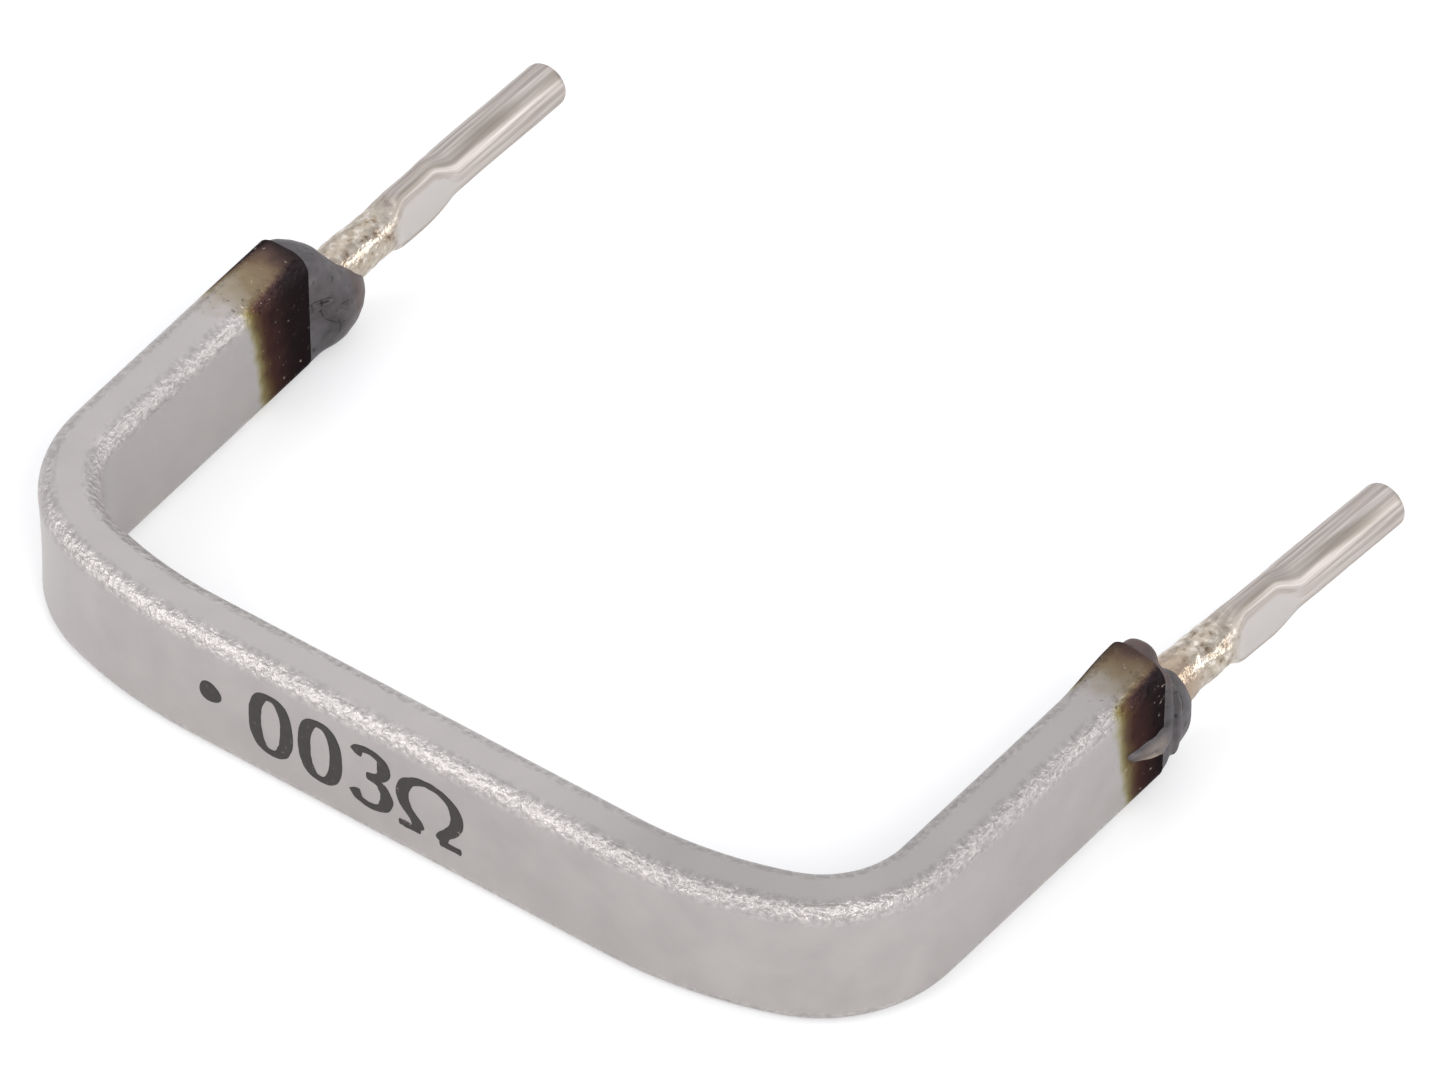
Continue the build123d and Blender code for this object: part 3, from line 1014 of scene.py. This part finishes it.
@dataclass
class WeldBead:
    """The lump of weld metal that joins a lead to its cut end.

    Attributes:
        end: The cut end.
        core: The point inside it that its surface is seen from.
        lumps: The lumps of melt that it is the smooth sum of.
        smear: Lumps of a tongue that ran back over the bar, and nothing where there is none.
        smear_core: The point inside the tongue.
        blend: How sharply the lumps keep their own shapes.
        ripple: The height of its unevenness in mm.
        ripple_cells: The coarse and the fine cell of it.
        ripple_shares: How much of its height each of them takes.
        back: How far behind the cut plane it may reach.
        warm_from: Where the brown band round the lead starts, forward of the cut plane.
        warm_band: How far forward the brown comes in.
        warm_top: How brown its highest part is, in bands.
        warm_levels: How far above the bar's middle that part starts and is full.
        grid: Rings and rays of the bead's skin.
        smear_grid: Rings and rays of the tongue's.
        dent_weight: What a dent adds to the sum where a lump adds 1.
        deepest: The least that a distance less 1 counts, deep in a lump.
        furthest: How far out a ray is searched.
        halvings: How often its span is halved.
        seed: Picks the unevenness.
    """

    end: CutEnd
    core: Point
    lumps: Sequence[Lump | Neck]
    smear: Sequence[Lump] = ()
    smear_core: Point = (0, 0, 0)
    blend: float = 9.0
    ripple: float = 0.03
    ripple_cells: Pair = (0.5, 0.2)
    ripple_shares: Pair = (0.65, 0.35)
    back: float = 0.3
    warm_from: float = 1.1
    warm_band: float = 0.25
    warm_top: float = 0.0
    warm_levels: Pair = (0.85, 1.2)
    grid: tuple[int, int] = (150, 200)
    smear_grid: tuple[int, int] = (70, 110)
    dent_weight: float = -3
    deepest: float = -0.6
    furthest: float = 4.0
    halvings: int = 24
    seed: int = 21

    def surface(
        self, core: Point, lumps: Sequence[Lump | Neck], grid: tuple[int, int], back: float
    ) -> Shell:
        """Finds the skin of a smooth sum of lumps, seen from a point inside.

        Each ray from the core is halved towards the distance where the sum of exp(-blend (d - 1)) over
        the lumps falls to 1, d being the distance in a lump's own reaches, and dents count against it
        threefold. Noise then moves the point along its ray, and nothing goes further behind the cut plane
        than the back, or below the floor.

        Args:
            core: The point inside, in distances from the cut end.
            lumps: The lumps.
            grid: Rings from the lowest to the highest ray, and rays in each.
            back: How far behind the cut plane it may reach.

        Returns:
            The closed skin with its marks.
        """
        tilt = np.linspace(0, math.pi, grid[0] + 2)[1:-1, None]
        turn = np.linspace(0, 2 * math.pi, grid[1], endpoint=False)[None, :]
        level = np.sin(tilt)
        rays = np.stack([level * np.cos(turn), level * np.sin(turn), -np.cos(tilt) * np.ones_like(turn)], -1)
        poles = np.array([[[0, 0, -1.0]], [[0, 0, 1.0]]])

        def reach_of(directions: Array) -> Array:
            """Points where the rays leave the sum of lumps."""
            near, far = np.zeros(directions.shape[:-1]), np.full(directions.shape[:-1], self.furthest)
            for _ in range(self.halvings):
                middle = (near + far) / 2
                local = np.array(core) + directions * middle[..., None]
                total = sum(
                    (self.dent_weight if lump.hollow else 1)
                    * np.exp(-self.blend * np.maximum(lump.distance(local) - 1, self.deepest))
                    for lump in lumps
                )
                near, far = np.where(total > 1, middle, near), np.where(total > 1, far, middle)
            local = np.array(core) + directions * near[..., None]
            coarse, fine = (
                share * lattice_noise(local, cell, self.seed + number)
                for number, (share, cell) in enumerate(zip(self.ripple_shares, self.ripple_cells))
            )
            local = local + directions * (self.ripple * (coarse + fine))[..., None]
            local[..., 1] = np.maximum(local[..., 1], -back)
            local[..., 2] = np.maximum(local[..., 2], -self.end.level)
            return local

        local, ends = reach_of(rays), reach_of(poles)
        right, forward, up = np.moveaxis(local, -1, 0)
        warm = ease_between(forward, self.warm_from, self.warm_from + self.warm_band)
        warm = warm + self.warm_top * ease_between(up, *self.warm_levels)
        warm = np.clip(0.6 * warm + 0.35 * lattice_noise(local, 0.6, self.seed + 2), 0, 1)
        # Behind the cut: half a scraped tint on the tongue, full on its proud rim as a painted highlight
        scrape_and_highlight = ease_between(right, 0.66, 0.75) * (0.5 + 0.5 * ease_between(right, 0.72, 0.77))
        scrape_and_highlight = scrape_and_highlight * (1 - ease_between(forward, -0.25, 0.1))
        tips = self.end.place(ends)
        return Shell(self.end.place(local), (tips[0, 0], tips[1, 0]), {"warm": warm, "scrape_and_highlight": scrape_and_highlight})

    def build(self, finish: Material) -> bpy.types.Object:
        """Builds and dresses the bead, which stands for its CAD node.

        Args:
            finish: The weld metal's material.

        Returns:
            The piece.
        """
        shells = [self.surface(self.core, self.lumps, self.grid, self.back)]
        if self.smear:
            shells.append(self.surface(self.smear_core, self.smear, self.smear_grid, math.inf))
        name = self.end.side.value
        piece = make_piece(f"weld_{name}_bead", shells, finish, 70.0)
        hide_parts(f"weld_{name}")
        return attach(piece, "root")


# The marking


@dataclass
class InkMarking:
    """A plain dot, three digits and an ohm sign, printed on the outer face of the web.

    Attributes:
        face: The web's outer face, on Y, in mm.
        level: The height of the bar's middle.
        film: The ink's half thickness.
        thin: Half the width of a stroke that runs along the web.
        thick: Half the width of one that runs up.
        ragged: The height and cell of the unevenness of a stroke's edge.
        end_share: The share of a stroke that is rounded off at each end.
        proud: How far the middle of the film stands out of the face, in half thicknesses.
    """

    face: float = -0.635
    level: float = 1.59
    film: float = 0.003
    thin: float = 0.088
    thick: float = 0.156
    ragged: Pair = (0.012, 0.12)
    end_share: float = 0.035
    proud: float = 0.6

    def print_rings(self, centre: Pair, across: Array, up: Array, out: Array, loop: bool) -> Shell:
        """Puts rings of a sign on the web's outer face.

        Args:
            centre: The sign's middle, on X and up from the bar's middle.
            across: Distances along the web from there.
            up: Distances up from there.
            out: Distances out of the face, in half thicknesses of the ink.
            loop: Whether the last ring meets the first.

        Returns:
            The closed skin.
        """
        rings = np.empty((*across.shape, 3))
        rings[..., 0], rings[..., 2] = centre[0] + across, self.level + centre[1] + up
        rings[..., 1] = self.face - self.film * out
        return Shell(rings, None if loop else (rings[0].mean(axis=0), rings[-1].mean(axis=0)))

    def ribbon(self, path: Array, centre: Pair, loop: bool = False) -> Shell:
        """Carries a flat oval along a stroke.

        Half the stroke's width is thin plus the rest times the upright share of its direction, rounded off
        at its two ends. A point is the path's point, plus the oval's cosine times that along the stroke's
        normal, plus its sine times the film out of the face.

        Args:
            path: Points of the stroke, across and up from the sign's middle.
            centre: The sign's middle, on X and up from the bar's middle.
            loop: Whether the stroke closes on itself.

        Returns:
            The closed skin.
        """
        if loop:
            ahead = np.roll(path, -1, axis=0) - np.roll(path, 1, axis=0)
        else:
            ahead = np.gradient(path, axis=0)
        ahead = ahead / np.linalg.norm(ahead, axis=1, keepdims=True)
        height, cell = self.ragged
        uneven = height * lattice_noise(np.stack([*path.T, path[:, 0] * 0 + centre[0]], -1), cell, 5)
        half = self.thin + (self.thick - self.thin) * ahead[:, 1] ** 2 + uneven
        if not loop:
            share = np.linspace(0, 1, len(path))
            half = half * np.sqrt(np.clip(np.minimum(share, 1 - share) / self.end_share, 0.02, 1))
        side = np.stack([-ahead[:, 1], ahead[:, 0]], -1)
        turn = np.linspace(0, 2 * math.pi, 12, endpoint=False)
        flat = path[:, None, :] + side[:, None, :] * (half[:, None] * np.cos(turn))[..., None]
        return self.print_rings(centre, flat[..., 0], flat[..., 1], self.proud + np.sin(turn), loop)

    def dot(self, centre: Pair, radius: float) -> Shell:
        """A flat round drop of ink: rings of a squashed sphere whose axis stands out of the face."""
        tilt = np.linspace(0, math.pi, 15)[1:-1, None]
        turn = np.linspace(0, 2 * math.pi, 48, endpoint=False)[None, :]
        wide = radius * (1 + 0.05 * np.sin(3 * turn + 1)) * np.sin(tilt)
        out = self.proud - np.cos(tilt)
        return self.print_rings(centre, wide * np.cos(turn), -wide * np.sin(turn), out, False)

    def nought(self, centre: Pair) -> Shell:
        """The digit 0: a loop whose sine and cosine are raised to 0.85, so that its sides run straighter."""
        t = np.linspace(0, 2 * math.pi, 120, endpoint=False)
        across = 0.385 * np.sign(np.cos(t)) * np.abs(np.cos(t)) ** 0.85
        up = 0.75 * np.sign(np.sin(t)) * np.abs(np.sin(t)) ** 0.85
        return self.ribbon(np.stack([across, up], -1), centre, loop=True)

    def three(self, centre: Pair) -> list[Shell]:
        """The digit 3: an upper and a lower bowl that meet at its waist."""
        upper = [(-0.36, 0.52), (-0.24, 0.70), (0.02, 0.75), (0.27, 0.64), (0.33, 0.38), (0.22, 0.16)]
        lower = [(0.24, -0.04), (0.39, -0.33), (0.28, -0.64), (0.0, -0.75), (-0.28, -0.68), (-0.41, -0.47)]
        upper, lower = upper + [(-0.1, 0.05)], [(-0.1, 0.05)] + lower
        return [self.ribbon(smooth_path(points, 90), centre) for points in (upper, lower)]

    def ohm(self, centre: Pair) -> list[Shell]:
        """The ohm sign: a horseshoe with two feet."""
        left = [(-0.26, -0.66), (-0.34, -0.45), (-0.58, -0.15), (-0.66, 0.16), (-0.55, 0.48), (-0.28, 0.68)]
        strokes = [smooth_path([*left, (0, 0.73), *((-x, z) for x, z in reversed(left))], 140)]
        strokes += [np.linspace((sign * 0.76, -0.68), (sign * 0.22, -0.68), 40) for sign in (-1, 1)]
        return [self.ribbon(stroke, centre) for stroke in strokes]

    def build(self) -> bpy.types.Object:
        """Builds and dresses the marking.

        Returns:
            The piece.
        """
        shells = [self.dot((-4.67, 0.14), 0.27)]
        shells += [self.nought((x, 0.09)) for x in (-3.19, -1.99)]
        shells += self.three((-0.77, 0.09))
        shells += self.ohm((0.66, 0.03))
        piece = make_piece("ink_marking", shells, MarkingInk().material())
        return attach(piece, "root")


# The studio


@dataclass
class Studio:
    """A pale floor, plain soft light and the camera at the photograph's angle.

    Attributes:
        azimuth: The camera's direction round the object, in degrees.
        elevation: Its angle above the floor.
        distance: From the camera to the plane across its view through the aim, in mm.
        aim: A point in that plane, in mm.
        slide: How far the camera sits to its right of the aim and above it, in mm.
        lens: The focal length for a 36 mm wide sensor.
        lamp_distance: From the lamps to the object, in metres.
        lamp_aim: The point that the lamps are set round, in metres.
        floor_half: Half the floor's side in metres.
    """

    azimuth: float = 35.91
    elevation: float = 45.257
    distance: float = 243.706
    aim: Point = (0.0, 5.0, 1.59)
    slide: Pair = (2.823, 1.756)
    lens: float = 311.75
    lamp_distance: float = 0.5
    lamp_aim: Point = (0, 0.008, 0)
    floor_half: float = 0.6

    def view_axes(self) -> tuple[Vector, Vector, Vector]:
        """The camera's right, up and forward directions."""
        a, e = math.radians(self.azimuth), math.radians(self.elevation)
        forward = Vector((-math.sin(a) * math.cos(e), math.cos(a) * math.cos(e), -math.sin(e)))
        right = Vector((math.cos(a), math.sin(a), 0))
        return right, right.cross(forward), forward

    def camera(self) -> None:
        """Sets the camera level, with the photograph's framing."""
        right, up, forward = self.view_axes()
        data = bpy.data.cameras.new("photo_view")
        data.sensor_fit, data.sensor_width, data.lens = "HORIZONTAL", 36.0, self.lens
        data.clip_start, data.clip_end = 0.01, 5.0
        eye = bpy.data.objects.new("photo_view", data)
        bpy.context.scene.collection.objects.link(eye)
        beside = right * self.slide[0] + up * self.slide[1]
        where = (Vector(self.aim) + beside - forward * self.distance) * MM
        turn = Matrix((right, up, -forward)).transposed().to_4x4()
        eye.matrix_world = Matrix.Translation(where) @ turn
        bpy.context.scene.camera = eye

    def lamp(self, name: str, direction: Point, size: Pair, power: float) -> None:
        """Adds one rectangular soft light that faces the object.

        Args:
            name: Its name.
            direction: From the object to the light.
            size: Its width and height in metres.
            power: In watts.
        """
        data = bpy.data.lights.new(name, "AREA")
        data.shape, data.size, data.size_y, data.energy = "RECTANGLE", *size, power
        made = bpy.data.objects.new(name, data)
        away = Vector(direction).normalized()
        made.location = away * self.lamp_distance + Vector(self.lamp_aim)
        made.rotation_mode = "QUATERNION"
        made.rotation_quaternion = (-away).to_track_quat("-Z", "Y")
        bpy.context.scene.collection.objects.link(made)

    def build(self) -> None:
        """Sets the floor, the lights, the world and the camera."""
        across, along = np.meshgrid(*[np.linspace(-1, 1, 9)] * 2, indexing="ij")
        points = np.stack([across, along, 0 * across], -1).reshape(-1, 3) * self.floor_half
        index = np.arange(across.size).reshape(across.shape)
        faces = np.stack([index[:-1, :-1], index[1:, :-1], index[1:, 1:], index[:-1, 1:]], -1)
        mesh = bpy.data.meshes.new("studio_floor")
        mesh.from_pydata(points.tolist(), [], faces.reshape(-1, 4).tolist())
        mesh.materials.append(PaperFloor().material())
        floor = bpy.data.objects.new("studio_floor", mesh)
        bpy.context.scene.collection.objects.link(floor)
        # Each lamp faces what the camera sees mirrored in one part: the web's upper edge, the right bend's,
        # the right arm's, and the upper faces
        self.lamp("soft_front", (-0.45, -0.72, 0.55), (0.32, 0.3), 1.05)
        self.lamp("soft_bend", (0.58, -0.42, 0.70), (0.22, 0.2), 1.2)
        self.lamp("soft_side", (0.72, 0.55, 0.42), (0.3, 0.12), 0.5)
        self.lamp("soft_back", (-0.41, 0.57, 0.71), (0.5, 0.36), 0.3)
        world = bpy.data.worlds.new("soft_room")
        world.use_nodes = True
        room = world.node_tree.nodes["Background"].inputs
        room["Color"].default_value, room["Strength"].default_value = linear("#F2F3F7"), 0.95
        bpy.context.scene.world = world
        bpy.context.scene.view_settings.view_transform = "Standard"
        self.camera()


def main() -> None:
    """Builds the resistor piece by piece, then its studio."""
    logging.basicConfig(level=logging.INFO, format="%(name)s: %(message)s")
    ResistanceBar().build()
    tin = DrawnTin().material()
    CrimpedLead(LEFT_END, 8.38, 4.55, 1.65, width=1.52, sags=(0.05, 0.05, -0.03)).build(tin)
    CrimpedLead(
        RIGHT_END, 7.77, 4.25, 1.25, width=1.56, sags=(0.06, 0.11, 0.06), flare=0.06, tan=0.8, seed=31
    ).build(tin)
    weld = FrozenWeld().material()
    WeldBead(
        LEFT_END,
        (0.05, 0.45, 0.0),
        (
            Neck(
                (-0.15, 0.0, 0.25, 0.5, 0.76, 1.0, 1.15),
                (1.50, 1.53, 1.45, 1.28, 1.02, 0.72, 0.50),
                (1.53, 1.575, 1.56, 1.5, 1.3, 1.05, 0.8),
                (0.60, 0.615, 0.62, 0.62, 0.60, 0.56, 0.50),
                lead=0.1,
                lean=0.042,
            ),
            Lump((0.16, 0.96, -0.56), (0.78, 1.05, 1.02), 2.1),
            Lump((0.20, 0.42, 0.55), (0.50, 0.42, 0.70), 2.0),
            Lump((0.70, 0.22, 0.16), (0.12, 0.34, 0.06), lean=-12, hollow=True),
            Lump((0.80, 0.75, -0.20), (0.12, 0.16, 0.07), lean=10, hollow=True),
        ),
        blend=14.0,
        ripple=0.045,
        seed=21,
    ).build(weld)
    WeldBead(
        RIGHT_END,
        (0.0, 0.35, 0.0),
        (
            Neck(
                (-0.15, 0.0, 0.2, 0.4, 0.6, 0.8),
                (1.50, 1.53, 1.42, 1.05, 0.70, 0.50),
                (1.53, 1.575, 1.5, 1.4, 1.2, 0.9),
                (0.60, 0.615, 0.62, 0.60, 0.55, 0.50),
                lead=-0.1,
                lean=0.059,
            ),
            Lump((-0.18, 0.13, 1.14), (0.42, 0.36, 0.47), 2.6),
            Lump((0.74, 0.30, 0.0), (0.10, 0.05, 0.60), hollow=True),
            Lump((0.12, 0.50, -0.36), (0.60, 0.73, 1.02)),
            Lump((0.56, 0.16, 0.1), (0.13, 0.12, 1.15)),
            Lump((0.58, 0.42, -0.25), (0.14, 0.11, 0.85)),
        ),
        smear=(
            Lump((0.60, -0.05, -0.36), (0.14, 0.32, 0.36)),
            Lump((0.60, -0.50, -0.22), (0.12, 0.62, 0.22), lean=-16),
            Lump((0.60, -0.95, -0.02), (0.10, 0.28, 0.09), lean=-22),
            Lump((0.66, -0.55, -0.36), (0.10, 0.62, 0.05), lean=-29),
        ),
        smear_core=(0.60, -0.5, -0.22),
        ripple=0.035,
        warm_from=0.8,
        warm_top=1.5,
        seed=47,
    ).build(weld)
    InkMarking().build()
    Studio().build()


if __name__ == "__main__":
    main()
